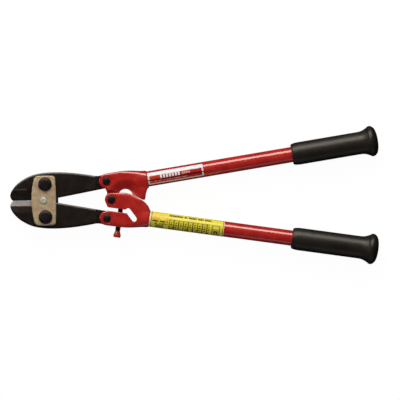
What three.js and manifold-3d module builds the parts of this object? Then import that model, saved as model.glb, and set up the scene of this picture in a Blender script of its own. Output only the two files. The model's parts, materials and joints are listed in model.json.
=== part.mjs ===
// Bolt cutter with tube handles, 18-inch size, lying flat with its jaws closed.
//
// Millimetres. +X runs from the jaws to the grips and +Z is up. The pieces are laid out about
// the point midway between the two jaw bolts, at the middle of the thickness, and the finished
// tool is moved so that its origin is under its middle, on the surface that it lies on.
//
// The two halves mirror each other across y = 0: side +1 is the upper half and -1 the lower.
// A handle has its own frame, with its origin at its link bolt: u runs along the tube towards
// the grip, and v points away from the other handle.

import * as THREE from 'three';
import { mergeVertices } from 'three/addons/utils/BufferGeometryUtils.js';
import Module from 'manifold-3d';

const wasm = await Module();
wasm.setup();

const deg = THREE.MathUtils.degToRad;

// ---------------------------------------------------------------- driving dimensions

const GAP = 0.3;                       // between neighbouring pieces
const ROUND = 32;                      // facets round a large turned piece
const SMALL_ROUND = 20;                // facets round a bolt
const CURVE_STEPS = 5;                 // facets along each curved stretch of an outline
const HALF_HEIGHT = 19.1;              // middle plane above the surface that the tool lies on

// Pivots, when the jaws are closed.
const JAW_PIVOT_Y = 20.3;
const LINK = { x: 76.0, y: 22.93 };    // jaw tail to handle
const TOGGLE = { u: 2.3, v: -23.55 };  // handle to handle, in a handle's frame
const HANDLE_LEAN = deg(8.66);         // of each tube from the tool's long axis
const CENTRE_PIN_X = -2.0;

// Jaws.
const JAW_HALF_THICKNESS = 6.3;
const TAIL_HALF_THICKNESS = 4.0;
const TAIL_STEP_X = 63.0;              // where the tail is thinned to fit its fork
const TAIL_EYE_RADIUS = 8.6;
const BLADE_END_X = -15.8;             // the bevels run out under the straps
const CUTTING_GAP = 0.15;              // of each cutting edge from y = 0

// Straps.
const STRAP_THICKNESS = 4.0;
const STRAP_INNER = JAW_HALF_THICKNESS + GAP;
const STRAP_OUTER = STRAP_INNER + STRAP_THICKNESS;
const FRONT_STRAP_BACK = 12.6;
const REAR_STRAP_BACK = 14.8;          // it closes the throat between the jaw tails

// Bolts: shank radius, head radius, head height and nut size across flats.
const JAW_BOLT = { shank: 5.0, head: 8.5, top: 5.6, headHeight: 4.0, flats: 17.0, nutHeight: 6.0 };
const LINK_BOLT = { shank: 3.75, head: 4.8, top: 3.1, headHeight: 2.7, flats: 12.0, nutHeight: 5.5 };
const BOLT_END = 1.6;                  // of a link bolt past its nut
const PIN = { shank: 3.0, head: 4.25, headHeight: 1.2 };

// Handle fittings.
const FITTING_HALF = 9.25;
const EAR_RADIUS = 9.1;
const FORK_HALF = TAIL_HALF_THICKNESS + GAP;
const FORK_RADIUS = 9.6;
const TOGGLE_EAR_RADIUS = 8.2;
const TONGUE_RADIUS = 7.6;
const TONGUE_ZONE = 11.6;              // round the toggle, kept clear of the other handle's ears
const TOGGLE_SLOT = 10.8;              // round the toggle, kept clear of the tongue
const TOGGLE_HOLE = { radius: 5.5, u: 0.7, v: 1.25 };  // hole in the tongue, eased off centre
const ARCH = { u: 20.0, v: -22.8, radius: 9.2, dish: 18.0, dishDepth: 3.2 };
const COLLAR = { length: 7.5, radius: 10.2 };
const SPIGOT = { length: 38.0, radius: 7.4 };

// Handles.
const TUBE = { v: -6.0, radius: 9.525, wall: 1.8, end: 327.0 };
const GRIP = { length: 108.1, radius: 14.0, flare: HALF_HEIGHT, bore: 9.85, boreDepth: 96.5 };
const LABEL = { inner: 9.63, outer: 9.93 };

// Adjusting screw, across the lower fitting's two fingers.
const SCREW = { u: 15.1, radius: 3.2, tip: -17.0, neck: 13.4, shoulder: 16.6, head: 22.2, corner: 4.6 };

const HANDLES = {
  upper: { side: 1, fittingEnd: 50.4, gripStart: 232.2, label: [50.9, 121.0], labelHalfAngle: 52 },
  lower: { side: -1, fittingEnd: 51.7, gripStart: 230.6, label: [52.2, 145.6], labelHalfAngle: 180 },
};

// ---------------------------------------------------------------- materials

const finish = (color, roughness, metalness) =>
  new THREE.MeshStandardMaterial({ color, roughness, metalness, flatShading: true });

const RED_PAINT = finish(0xb5171d, 0.35, 0.1);
const BLACK_OXIDE = finish(0x1c1a19, 0.5, 0.6);
const ZINC = finish(0xb0a184, 0.4, 0.7);
const BRIGHT_STEEL = finish(0xc4c2bb, 0.3, 0.9);
const RUBBER = finish(0x262422, 0.6, 0.0);
const RED_LABEL = finish(0xc8302c, 0.45, 0.0);
const YELLOW_LABEL = finish(0xe6c21c, 0.45, 0.0);

// ---------------------------------------------------------------- joining and cutting

/** Turns a closed geometry into a solid that can be joined and cut. */
function solid(geometry) {
  const bare = geometry.clone();
  bare.deleteAttribute('normal');
  bare.deleteAttribute('uv');
  const merged = mergeVertices(bare, 1e-4);
  const corners = merged.index.array;
  const triangles = [];
  for (let i = 0; i < corners.length; i += 3) {
    const [a, b, c] = corners.slice(i, i + 3);
    if (a !== b && b !== c && c !== a) triangles.push(a, b, c);
  }
  return new wasm.Manifold(new wasm.Mesh({
    numProp: 3,
    vertProperties: merged.attributes.position.array,
    triVerts: Uint32Array.from(triangles),
  }));
}

/** Turns a solid back into a geometry. */
function geometryOf(body) {
  const mesh = body.getMesh();
  const geometry = new THREE.BufferGeometry();
  geometry.setAttribute('position', new THREE.BufferAttribute(mesh.vertProperties, 3));
  geometry.setIndex(new THREE.BufferAttribute(mesh.triVerts, 1));
  geometry.computeVertexNormals();
  return geometry;
}

/** Joins and cuts: first the main geometry, then what is added to it or taken away from it. */
const join = (main, ...others) =>
  geometryOf(others.reduce((body, other) => body.add(solid(other)), solid(main)));
const cut = (main, ...tools) =>
  geometryOf(tools.reduce((body, tool) => body.subtract(solid(tool)), solid(main)));

// ---------------------------------------------------------------- basic forms

/** An outline in X and Y, thick from one height to another. */
function plate(shape, bottom, top) {
  const options = { depth: top - bottom, bevelEnabled: false, curveSegments: CURVE_STEPS };
  return new THREE.ExtrudeGeometry(shape, options).translate(0, 0, bottom);
}

/** A block between two opposite corners. */
function block([x0, y0, z0], [x1, y1, z1]) {
  const size = [Math.abs(x1 - x0), Math.abs(y1 - y0), Math.abs(z1 - z0)];
  return new THREE.BoxGeometry(...size).translate((x0 + x1) / 2, (y0 + y1) / 2, (z0 + z1) / 2);
}

/** A round bar along Z, from one height to another. */
function bar([x, y], radius, bottom, top, facets = SMALL_ROUND) {
  const geometry = new THREE.CylinderGeometry(radius, radius, top - bottom, facets);
  return geometry.rotateX(Math.PI / 2).translate(x, y, (bottom + top) / 2);
}

/** A turned piece about Z, from [radius, height] points that start and end on the axis. */
function turned(profile, facets = SMALL_ROUND) {
  const points = profile.map(([radius, height]) => new THREE.Vector2(radius, height));
  return new THREE.LatheGeometry(points, facets).rotateX(Math.PI / 2);
}

/** Lays a piece made about Z along a handle: its heights become distances u along the tube. */
const alongTube = (geometry, side) =>
  geometry.rotateY(Math.PI / 2).translate(0, side * TUBE.v, 0);

/** A closed outline through [x, y] corners. */
const polygon = (corners) => new THREE.Shape(corners.map(([x, y]) => new THREE.Vector2(x, y)));

/** Points as vectors, with y turned over for the lower half. */
const mirrored = (points, side) => points.map(([x, y]) => new THREE.Vector2(x, side * y));

/** Draws outlines for either half: coordinates are given for the upper one. */
function pen(side) {
  const shape = new THREE.Shape();
  const turn = (angle) => side * deg(angle);
  return {
    shape,
    from: (x, y) => shape.moveTo(x, side * y),
    to: (x, y) => shape.lineTo(x, side * y),
    bend: (cx, cy, x, y) => shape.quadraticCurveTo(cx, side * cy, x, side * y),
    through: (points) => shape.splineThru(mirrored(points, side)),
    /** Round a centre between two angles, anticlockwise on the upper half unless told. */
    round: (x, y, radius, start, end, clockwise = false) =>
      shape.absarc(x, side * y, radius, turn(start), turn(end), side > 0 ? clockwise : !clockwise),
  };
}

// ---------------------------------------------------------------- head

/** Jaw: blade, boss round the jaw bolt, and a tail that thins into its fork. */
function jaw(side) {
  const { shape, from, to, through, round } = pen(side);
  from(-40.3, CUTTING_GAP);
  to(0, CUTTING_GAP);
  round(LINK.x, LINK.y, TAIL_EYE_RADIUS, -79.5, 100);
  through([[64.5, 29.5], [53, 31.2], [38, 33.3], [23, 34.6], [8, 34.9], [-6, 33.8], [-17.7, 31.0],
    [-28.8, 25.4], [-36.3, 19.3], [-41.2, 13.2], [-43.6, 7.2], [-42.7, 3.0], [-40.3, CUTTING_GAP]]);
  let body = plate(shape, -JAW_HALF_THICKNESS, JAW_HALF_THICKNESS);

  // Forged bevel, then ground bevel, down to the cutting edge, on both faces.
  const bevel = [[20, 8.2], [6.2, 3.9], [0.15, 0.5], [-2, 0.5], [-2, 10], [20, 10]];
  const toBlade = new THREE.Matrix4().makeBasis(
    new THREE.Vector3(0, 1, 0), new THREE.Vector3(0, 0, 1), new THREE.Vector3(1, 0, 0));
  for (const face of [1, -1]) {
    const section = polygon(bevel.map(([y, z]) => [side * y, face * z]));
    body = cut(body, plate(section, -60, BLADE_END_X).applyMatrix4(toBlade));
  }

  for (const face of [1, -1]) {
    const near = face * TAIL_HALF_THICKNESS;
    body = cut(body, block([TAIL_STEP_X, -60, near], [100, 60, face * 20]));
  }
  const { from: pinFrom, round: pinRound, shape: pinSlot } = pen(1);
  const reach = 2.9;                   // the jaw slides this far past the pin as it opens
  pinFrom(CENTRE_PIN_X, PIN.shank + GAP);
  pinRound(CENTRE_PIN_X, 0, PIN.shank + GAP, 90, 270);
  pinRound(CENTRE_PIN_X + reach, 0, PIN.shank + GAP, -90, 90);
  return cut(body,
    plate(pinSlot, -10, 10),
    bar([0, side * JAW_PIVOT_Y], JAW_BOLT.shank + GAP, -10, 10),
    bar([LINK.x, side * LINK.y], LINK_BOLT.shank + GAP, -10, 10));
}

/** Strap: ties the two jaw bolts together on one face of the jaws. `back` is its far edge. */
function strap(face, back) {
  const { shape, from, bend } = pen(1);
  from(back, -27);
  bend(back + 1.6, 0, back, 27);
  bend(back - 0.4, 30.6, 8, 30.7);
  bend(-1, 31.3, -8.5, 30.7);
  bend(-12.6, 30.3, -13.9, 26.3);
  bend(-20.3, 0, -13.9, -26.3);
  bend(-12.6, -30.3, -8.5, -30.7);
  bend(-1, -31.3, 8, -30.7);
  bend(back - 0.4, -30.6, back, -27);
  const [bottom, top] = face > 0 ? [STRAP_INNER, STRAP_OUTER] : [-STRAP_OUTER, -STRAP_INNER];
  const holes = [1, -1].map((side) =>
    bar([0, side * JAW_PIVOT_Y], JAW_BOLT.shank + GAP, bottom - 1, top + 1));
  const pinHole = bar([CENTRE_PIN_X, 0], PIN.shank + GAP, bottom - 1, top + 1);
  return cut(plate(shape, bottom, top), ...holes, pinHole);
}

/** Bolt with a low domed head on top, its shank reaching down to `end`. */
function bolt({ shank, head, top, headHeight }, seat, end) {
  const under = seat + GAP;
  return turned([
    [0, end], [shank, end], [shank, under], [head, under], [head, under + headHeight * 0.35],
    [(head + top) / 2, under + headHeight * 0.85], [top, under + headHeight], [0, under + headHeight],
  ], 24);
}

/** Hexagonal nut under a seat. */
function nut({ shank, flats, nutHeight }, seat) {
  const corner = flats / Math.sqrt(3);
  const [bottom, top] = [-seat - GAP - nutHeight, -seat - GAP];
  return cut(bar([0, 0], corner, bottom, top, 6), bar([0, 0], shank + GAP, bottom - 1, top + 1));
}

/** Centre pin: a low head on each side, through both straps and between the jaws. */
function centrePin() {
  const half = STRAP_OUTER + GAP;
  const tip = half + PIN.headHeight;
  return turned([
    [0, -tip], [PIN.head - 0.8, -tip], [PIN.head, -half - 0.5], [PIN.head, -half],
    [PIN.shank, -half], [PIN.shank, half],
    [PIN.head, half], [PIN.head, half + 0.5], [PIN.head - 0.8, tip], [0, tip],
  ]);
}

// ---------------------------------------------------------------- handle fittings

/** Space for a jaw tail: round the link bolt, and out to where the tail swings. */
function forkSlot(side) {
  const swing = [[0, -FORK_RADIUS], [-25, -FORK_RADIUS], [-25, 20], [6.6, 20], [6.6, 7]];
  return join(
    bar([0, 0], FORK_RADIUS, -FORK_HALF, FORK_HALF, ROUND),
    plate(polygon(swing.map(([u, v]) => [u, side * v])), -FORK_HALF, FORK_HALF));
}

/** Round collar where a fitting meets its tube, and the spigot inside the tube. */
function tubeEnd(side, end) {
  const collar = bar([0, 0], COLLAR.radius, end - COLLAR.length, end, ROUND);
  const spigot = bar([0, 0], SPIGOT.radius, end - 1, end + SPIGOT.length, ROUND);
  return alongTube(join(collar, spigot), side);
}

/** Upper fitting: fork for the jaw tail, arched arm to the tongue, and the stop lug. */
function upperFitting({ side, fittingEnd }) {
  const { shape, round, to, bend, through } = pen(side);
  round(0, 0, EAR_RADIUS, 90, 250);
  to(-1.8, -13.0);
  to(-1.7, -15.8);
  round(TOGGLE.u, TOGGLE.v, TONGUE_RADIUS, 125, 350);
  round(ARCH.u, ARCH.v, ARCH.radius, 190, 4, true);
  to(40.4, -30.3);
  bend(43.3, -32.0, 44.3, -28.0);
  bend(46.2, -20.5, fittingEnd, -15.6);
  to(fittingEnd, 4.5);
  through([[42, 6.4], [31, 8.3], [20, 9.1], [10, 9.3], [0, EAR_RADIUS]]);
  const body = join(plate(shape, -FITTING_HALF, FITTING_HALF), tubeEnd(side, fittingEnd));

  const tools = [forkSlot(side), bar([0, 0], LINK_BOLT.shank + GAP, -20, 20)];
  const toggleHole = [TOGGLE.u + TOGGLE_HOLE.u, side * (TOGGLE.v + TOGGLE_HOLE.v)];
  tools.push(bar(toggleHole, TOGGLE_HOLE.radius, -20, 20));
  const earSpace = [[-15, -15.2], [6, -15.0], [10, -15.5], [15, -16.6], [15, -40], [-15, -40]];
  for (const [low, high] of [[TAIL_HALF_THICKNESS, 20], [-20, -TAIL_HALF_THICKNESS]]) {
    tools.push(bar([TOGGLE.u, side * TOGGLE.v], TONGUE_ZONE, low, high, ROUND));
    tools.push(plate(polygon(earSpace.map(([u, v]) => [u, side * v])), low, high));
  }
  const web = FITTING_HALF - ARCH.dishDepth;
  for (const [low, high] of [[web, 20], [-20, -web]]) {
    tools.push(bar([ARCH.u, side * ARCH.v], ARCH.dish, low, high, ROUND));
  }
  return cut(body, ...tools);
}

/** Lower fitting: fork and toggle ears on two fingers, parted by a bent slot. */
function lowerFitting({ side, fittingEnd }) {
  const { shape, round, to, through } = pen(side);
  round(0, 0, EAR_RADIUS, 95, 265);
  to(-0.9, -13.0);
  to(-1.5, -14.4);
  to(-4.2, -18.6);
  round(TOGGLE.u, TOGGLE.v, TOGGLE_EAR_RADIUS, 160, 262);
  through([[10, -33.1], [19, -34.0], [26, -33.0], [33.5, -30.4], [41.2, -27.2], [47.5, -22.7],
    [50.6, -18.4], [fittingEnd, -14.5]]);
  to(fittingEnd, 4.3);
  through([[45, 5.7], [37.5, 7.0], [27, 8.4], [18, 9.0], [8, 9.0], [-0.8, EAR_RADIUS - 0.03]]);
  const body = join(plate(shape, -FITTING_HALF, FITTING_HALF), tubeEnd(side, fittingEnd));

  // Slot between the fingers: straight in from the left, then slanting outwards.
  const { shape: slant, from, round: slantRound } = pen(side);
  const slope = 45.3;
  const slot = { half: 3.3, start: [24.6, -12.3], end: [33.4, -3.4] };
  from(slot.end[0], slot.end[1] - slot.half);
  slantRound(...slot.end, slot.half, slope - 90, slope + 90);
  slantRound(...slot.start, slot.half, slope + 90, slope + 270);
  const fingerGap = block([-20, side * -13.4, -20], [22.5, side * -9.2, 20]);

  // Space between the toggle ears for the upper fitting's tongue.
  const tongueSpace = join(
    bar([TOGGLE.u, side * TOGGLE.v], TOGGLE_SLOT, -FORK_HALF, FORK_HALF, ROUND),
    block([-20, side * -40, -FORK_HALF], [TOGGLE.u, side * -12.8, FORK_HALF]),
    block([TOGGLE.u - 1, side * -40, -FORK_HALF], [13.6, side * -29.5, FORK_HALF]));

  // Screw hole: through the outer finger and a short way into the inner one.
  const screwHole = new THREE.CylinderGeometry(1, 1, 1, SMALL_ROUND);
  screwHole.scale(SCREW.radius + GAP, 30 - SCREW.tip + GAP, SCREW.radius + GAP);
  screwHole.translate(SCREW.u, side * (30 + SCREW.tip - GAP) / 2, 0);

  return cut(body, forkSlot(side), fingerGap, plate(slant, -20, 20), tongueSpace, screwHole,
    bar([0, 0], LINK_BOLT.shank + GAP, -20, 20),
    bar([TOGGLE.u, side * TOGGLE.v], LINK_BOLT.shank + GAP, -20, 20));
}

/** Adjusting screw: a hexagonal head on a flared neck, its shank across the finger gap. */
function adjustingScrew() {
  const shank = turned([
    [0, SCREW.tip], [SCREW.radius - 0.6, SCREW.tip], [SCREW.radius, SCREW.tip + 0.6],
    [SCREW.radius, SCREW.neck], [SCREW.corner - 0.9, SCREW.shoulder],
    [SCREW.corner - 0.9, SCREW.head - 1], [0, SCREW.head - 1],
  ]);
  return join(shank, bar([0, 0], SCREW.corner, SCREW.shoulder - 0.4, SCREW.head, 6));
}

// ---------------------------------------------------------------- tubes, grips and labels

/** Handle tube, open at both ends. */
function tube({ side, fittingEnd }) {
  const start = fittingEnd + GAP;
  const outside = bar([0, 0], TUBE.radius, start, TUBE.end, ROUND);
  const inside = bar([0, 0], TUBE.radius - TUBE.wall, start - 1, TUBE.end + 1, ROUND);
  return alongTube(cut(outside, inside), side);
}

/** Grip: a sleeve over the tube, tapered at its mouth and flared at its closed end. */
function grip({ side, gripStart }) {
  const { radius, flare, bore, boreDepth, length } = GRIP;
  const profile = [
    [0, boreDepth], [bore, boreDepth], [bore, 0],
    [radius - 1.6, 0], [radius - 0.6, 2.2], [radius, 7.5], [radius, 86.5],
    [radius + 0.7, 90], [radius + 2.2, 93.5], [radius + 3.9, 96.3],
    [flare - 0.3, 98.2], [flare, 99.6], [flare - 0.6, 101.6], [flare - 2.2, 103.8],
    [flare - 4.8, 105.8], [flare - 9, 107.3], [flare - 13.5, length - 0.2], [0, length],
  ].map(([r, u]) => [r, u + gripStart]);
  return alongTube(turned(profile, ROUND), side);
}

/** Label: a thin curved sheet on the tube, centred on its top. */
function label({ side, label: [start, end], labelHalfAngle }) {
  const { inner, outer } = LABEL;
  if (labelHalfAngle >= 180) {
    const sleeve = cut(bar([0, 0], outer, start, end, ROUND), bar([0, 0], inner, start - 1, end + 1, ROUND));
    return alongTube(sleeve, side);
  }
  const half = deg(labelHalfAngle);
  const shape = new THREE.Shape();
  shape.absarc(0, 0, outer, Math.PI - half, Math.PI + half, false);
  shape.absarc(0, 0, inner, Math.PI + half, Math.PI - half, true);
  return alongTube(plate(shape, start, end), side);
}

// ---------------------------------------------------------------- assembly

const tool = new THREE.Group();

/** Names a geometry, closes it as one solid and puts it in a group at a place. */
function add(group, name, geometry, material, [x, y, z] = [0, 0, 0]) {
  const mesh = new THREE.Mesh(geometryOf(solid(geometry)), material);
  mesh.name = name;
  mesh.position.set(x, y, z);
  group.add(mesh);
}

function buildHead() {
  const head = new THREE.Group();
  add(head, 'front_strap', strap(1, FRONT_STRAP_BACK), ZINC);
  add(head, 'rear_strap', strap(-1, REAR_STRAP_BACK), BLACK_OXIDE);
  add(head, 'centre_pin', centrePin(), BRIGHT_STEEL, [CENTRE_PIN_X, 0, 0]);
  for (const [half, { side }] of Object.entries(HANDLES)) {
    const place = [0, side * JAW_PIVOT_Y, 0];
    add(head, `${half}_jaw`, jaw(side), BLACK_OXIDE);
    add(head, `${half}_jaw_bolt`, bolt(JAW_BOLT, STRAP_OUTER, -HALF_HEIGHT), BLACK_OXIDE, place);
    add(head, `${half}_jaw_nut`, nut(JAW_BOLT, STRAP_OUTER), BLACK_OXIDE, place);
  }
  return head;
}

function buildHandle(half, handle) {
  const { side } = handle;
  const group = new THREE.Group();
  group.position.set(LINK.x, side * LINK.y, 0);
  group.rotation.z = side * HANDLE_LEAN;

  const fitting = side > 0 ? upperFitting(handle) : lowerFitting(handle);
  const boltEnd = -FITTING_HALF - GAP - LINK_BOLT.nutHeight - BOLT_END;
  add(group, `${half}_fitting`, fitting, RED_PAINT);
  add(group, `${half}_link_bolt`, bolt(LINK_BOLT, FITTING_HALF, boltEnd), BLACK_OXIDE);
  add(group, `${half}_link_nut`, nut(LINK_BOLT, FITTING_HALF), BLACK_OXIDE);
  add(group, `${half}_tube`, tube(handle), RED_PAINT);
  add(group, `${half}_grip`, grip(handle), RUBBER);
  add(group, `${half}_label`, label(handle), side > 0 ? RED_LABEL : YELLOW_LABEL);

  if (side < 0) {
    const toggle = [TOGGLE.u, side * TOGGLE.v, 0];
    add(group, 'toggle_bolt', bolt(LINK_BOLT, FITTING_HALF, boltEnd), BLACK_OXIDE, toggle);
    add(group, 'toggle_nut', nut(LINK_BOLT, FITTING_HALF), BLACK_OXIDE, toggle);
    const screw = adjustingScrew().rotateX(-side * Math.PI / 2);
    add(group, 'adjusting_screw', screw, RED_PAINT, [SCREW.u, 0, 0]);
  }
  return group;
}

tool.add(buildHead());
for (const [half, handle] of Object.entries(HANDLES)) tool.add(buildHandle(half, handle));

// Origin: under the middle of the tool, on the surface that it lies on.
tool.updateMatrixWorld(true);
const box = new THREE.Box3().setFromObject(tool, true);
const middle = box.getCenter(new THREE.Vector3());
tool.position.set(-middle.x, -middle.y, -box.min.z);

export default tool;
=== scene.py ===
# Bolt cutter: the fine surface of each CAD piece, and its materials.
#
# Shapes are drawn in millimetres in two local frames and become metres when a mesh is made.
# Head frame: midway between the two jaw bolts, at the middle of the thickness.
# Handle frame: at a handle's link bolt, with u along its tube and v away from the other handle.
# Side +1 is the upper half and -1 the lower, and outlines are drawn for the upper one.

import json
import math

import bpy
import numpy as np
from mathutils import Matrix, Vector


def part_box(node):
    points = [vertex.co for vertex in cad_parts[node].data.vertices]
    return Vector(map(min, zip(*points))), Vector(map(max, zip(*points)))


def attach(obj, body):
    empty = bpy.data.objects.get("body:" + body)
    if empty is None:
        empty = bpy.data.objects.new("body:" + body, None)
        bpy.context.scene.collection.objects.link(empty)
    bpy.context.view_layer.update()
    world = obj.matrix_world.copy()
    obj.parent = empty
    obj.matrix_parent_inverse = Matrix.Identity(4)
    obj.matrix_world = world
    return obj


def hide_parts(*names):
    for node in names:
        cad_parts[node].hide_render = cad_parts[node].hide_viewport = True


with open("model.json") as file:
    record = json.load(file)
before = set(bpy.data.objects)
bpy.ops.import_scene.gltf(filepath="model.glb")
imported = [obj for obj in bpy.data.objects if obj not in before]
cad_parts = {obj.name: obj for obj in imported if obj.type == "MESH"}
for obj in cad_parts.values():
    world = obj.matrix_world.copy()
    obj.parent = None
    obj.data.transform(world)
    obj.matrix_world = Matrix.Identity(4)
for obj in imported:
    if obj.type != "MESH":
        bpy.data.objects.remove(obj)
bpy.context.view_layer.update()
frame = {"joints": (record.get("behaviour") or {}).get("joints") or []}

MM = 0.001
HALVES = {"upper": 1, "lower": -1}

# -------- dimensions, in millimetres

JAW_PIVOT_Y = 20.3
LINK = (76.0, 22.93)
TOGGLE = (2.3, -23.55)
GAP = 0.3  # between neighbouring pieces

# Jaws. Bevels are pairs of (y, z) points.
JAW_HALF = 6.3  # half thicknesses
TAIL_HALF = 4.0
TAIL_STEP_X = 63.0
TAIL_EYE = 8.6
BLADE_END_X = -15.8  # the bevels stop here, under the straps
GROUND_EDGE = (0.15, 0.5)  # the cutting edge
GROUND_TOP = (6.2, 3.9)  # where the ground bevel meets the forged one
FORGED_TOP = (20.0, 8.2)
CREASE = {"x": (-40, -23), "y": (13.5, 14.5)}  # where the forged bevel meets the face
JAW_CHAMFER = ((0.0, 5.3), (2.0, 6.3))  # distance in from the outline, and height

# Straps.
STRAP_INNER = 6.6
STRAP_OUTER = 10.6
# The rear strap reaches further back than the front one, so that its black shows in the throat
# between the jaws as painted shade.
STRAP_BACKS = {"front": 12.6, "rear": 14.8}
STRAP_CHAMFER = 1.2

# Bolts, nuts and the centre pin.
JAW_BOLT = {"shank": 5.0, "head": 8.5, "top": 5.7, "height": 4.0, "flats": 17.0, "nut": 6.0}
LINK_BOLT = {"shank": 3.75, "head": 4.8, "top": 3.1, "height": 2.7, "flats": 12.0, "nut": 5.5}
THREAD = {"pitch": 1.25, "depth": 0.45}
BOLT_END = 1.6  # of a link bolt past its nut
TIP_CHAMFER = 0.6
SPOT_FACE = {"radius": 6.9, "depth": 0.7}  # turned into a fitting under a head or nut
SEAT_GAP = 0.1  # under a bolt head, and above a nut
PIN = {"x": -2.0, "shank": 3.0, "head": 4.25, "height": 1.2}
PIN_TRAVEL = 2.9  # the jaws slide this far past the pin as they open
JAW_BORE = JAW_BOLT["shank"] + GAP
LINK_BORE = LINK_BOLT["shank"] + GAP
PIN_BORE = PIN["shank"] + GAP

# Handle fittings.
FITTING_HALF = 9.25
EAR = 9.1
FORK_HALF = 4.3
FORK_RADIUS = 9.6
TOGGLE_EAR = 8.2
TONGUE = 7.6
TONGUE_ZONE = 11.6  # round the toggle, kept clear of the other handle's ears
TOGGLE_SLOT = 10.8  # round the toggle, kept clear of the tongue
TOGGLE_HOLE = {"radius": 5.5, "u": 0.7, "v": 1.25}  # in the tongue, eased off centre
ARCH = {"centre": (20.0, -22.8), "radius": 9.2, "dish": 20.3, "depth": 6.2}
FINGER_GAP = ((-20, -13.4), (22.5, -9.2))  # opposite corners
FINGER_SLOT = ((24.6, -12.3), (33.4, -3.4), 3.3)  # start, end and half width
FITTING_BEVEL = ((0.0, FITTING_HALF - 1.35), (2.6, FITTING_HALF))  # as for JAW_CHAMFER
COLLAR = {"length": 16, "radius": 10.2, "crest": 2.5, "slope": 0.12}
WAIST = {"taper": 0.27, "squash": 0.8, "limit": 6.5}  # where the forging leads into its collar
SPIGOT = {"length": 38.0, "radius": 7.4}
FITTING_ENDS = {"upper": 50.4, "lower": 51.7}

# Tubes, grips and labels.
TUBE_V = -6.0
TUBE = {"radius": 9.525, "wall": 1.8, "end": 327.0}
GRIP_STARTS = {"upper": 232.2, "lower": 230.6}
GRIP_BORE = {"radius": 9.85, "depth": 96.5}
LABELS = {"upper": (50.9, 121.0), "lower": (52.2, 145.6)}
LABEL_RADIUS = 9.72
LABEL_INNER = 9.6
UPPER_LABEL_HALF_ANGLE = math.radians(52)
LABEL_CORNER = 2.4  # of the upper label

# Adjusting screw. Places along it are values of v.
SCREW = {
    "u": 15.1, "radius": 3.2, "corner": 4.6, "clearance": 0.25, "pitch": 1.1, "depth": 0.5,
    "tip": -17.0, "thread_end": 10.0, "neck": 13.4, "shoulder": 16.6, "head": 22.2,
}

CELL = 0.4  # of the grid that forged pieces are skinned on
STRAP_CELL = 0.35
THREAD_STEP = 0.12  # between the rings of a thread

# -------- local frames


def middle(*nodes):
    """The middle of the box round some CAD nodes."""
    boxes = [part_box(node) for node in nodes]
    low = [min(box[0][i] for box in boxes) for i in range(3)]
    high = [max(box[1][i] for box in boxes) for i in range(3)]
    return (Vector(low) + Vector(high)) / 2


def anchor(joint_name):
    """Where a joint turns, and about which axis."""
    joint = next(j for j in frame["joints"] if j["name"] == joint_name)
    return Vector(joint["pos_m"]), Vector(joint["axis"])


MID_HEIGHT = middle("front_strap", "rear_strap").z
HEAD = Matrix.Translation((*middle("upper_jaw_bolt", "lower_jaw_bolt").xy, MID_HEIGHT))
LOWER_OUTWARD = anchor("adjusting_screw_turn")[1]
LEAN = math.atan2(-LOWER_OUTWARD.x, -LOWER_OUTWARD.y)


def handle_frame(half):
    """X along the tube and Z up. Y is v on the upper handle and -v on the lower one."""
    origin = anchor(f"{half}_handle_swing")[0]
    return Matrix.Translation(origin) @ Matrix.Rotation(HALVES[half] * LEAN, 4, "Z")


def tube_frame(half):
    """A handle's frame, moved to the middle line of its tube."""
    return handle_frame(half) @ Matrix.Translation((0, HALVES[half] * TUBE_V * MM, 0))


# -------- outlines


class Pen:
    """Draws a closed outline in millimetres, with its curves finely divided."""

    ARC_STEP = math.radians(4)
    CURVE_STEPS = 12

    def __init__(self, x, y):
        self.points = [(x, y)]

    def to(self, x, y):
        self.points.append((x, y))
        return self

    def bend(self, cx, cy, x, y):
        """A parabola to (x, y) that aims at (cx, cy)."""
        ax, ay = self.points[-1]
        for step in range(1, self.CURVE_STEPS + 1):
            t = step / self.CURVE_STEPS
            a, b, c = (1 - t) ** 2, 2 * t * (1 - t), t * t
            self.to(a * ax + b * cx + c * x, a * ay + b * cy + c * y)
        return self

    def round(self, cx, cy, radius, start, end):
        """An arc between two angles in degrees, anticlockwise if `end` is the larger."""
        start, end = math.radians(start), math.radians(end)
        steps = max(2, math.ceil(abs(end - start) / self.ARC_STEP))
        for angle in np.linspace(start, end, steps + 1):
            self.to(cx + radius * math.cos(angle), cy + radius * math.sin(angle))
        return self

    def through(self, *points):
        """A smooth curve from the pen through some points."""
        knots = np.array([self.points[-1], *points])
        padded = np.vstack([knots[0], knots, knots[-1]])
        for a, b, c, d in zip(padded, padded[1:], padded[2:], padded[3:]):
            for step in range(1, self.CURVE_STEPS + 1):
                t = step / self.CURVE_STEPS
                along, into = (c - a) / 2, (d - b) / 2
                cubic = 2 * b - 2 * c + along + into
                square = -3 * b + 3 * c - 2 * along - into
                self.to(*(cubic * t**3 + square * t**2 + along * t + b))
        return self


def jaw_outline():
    pen = Pen(-40.3, GROUND_EDGE[0]).to(0, GROUND_EDGE[0])
    pen.round(*LINK, TAIL_EYE, -79.5, 100)
    pen.through((64.5, 29.5), (53, 31.2), (38, 33.3), (23, 34.6), (8, 34.9), (-6, 33.8),
                (-17.7, 31.0), (-28.8, 25.4), (-36.3, 19.3), (-41.2, 13.2), (-43.6, 7.2),
                (-42.7, 3.0), (-40.3, GROUND_EDGE[0]))
    return pen.points


def strap_outline(back):
    pen = Pen(back, -27).bend(back + 1.6, 0, back, 27)
    pen.bend(back - 0.4, 30.6, 8, 30.7).bend(-1, 31.3, -8.5, 30.7)
    pen.bend(-12.6, 30.3, -13.9, 26.3).bend(-20.3, 0, -13.9, -26.3)
    pen.bend(-12.6, -30.3, -8.5, -30.7).bend(-1, -31.3, 8, -30.7)
    return pen.bend(back - 0.4, -30.6, back, -27).points


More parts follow.
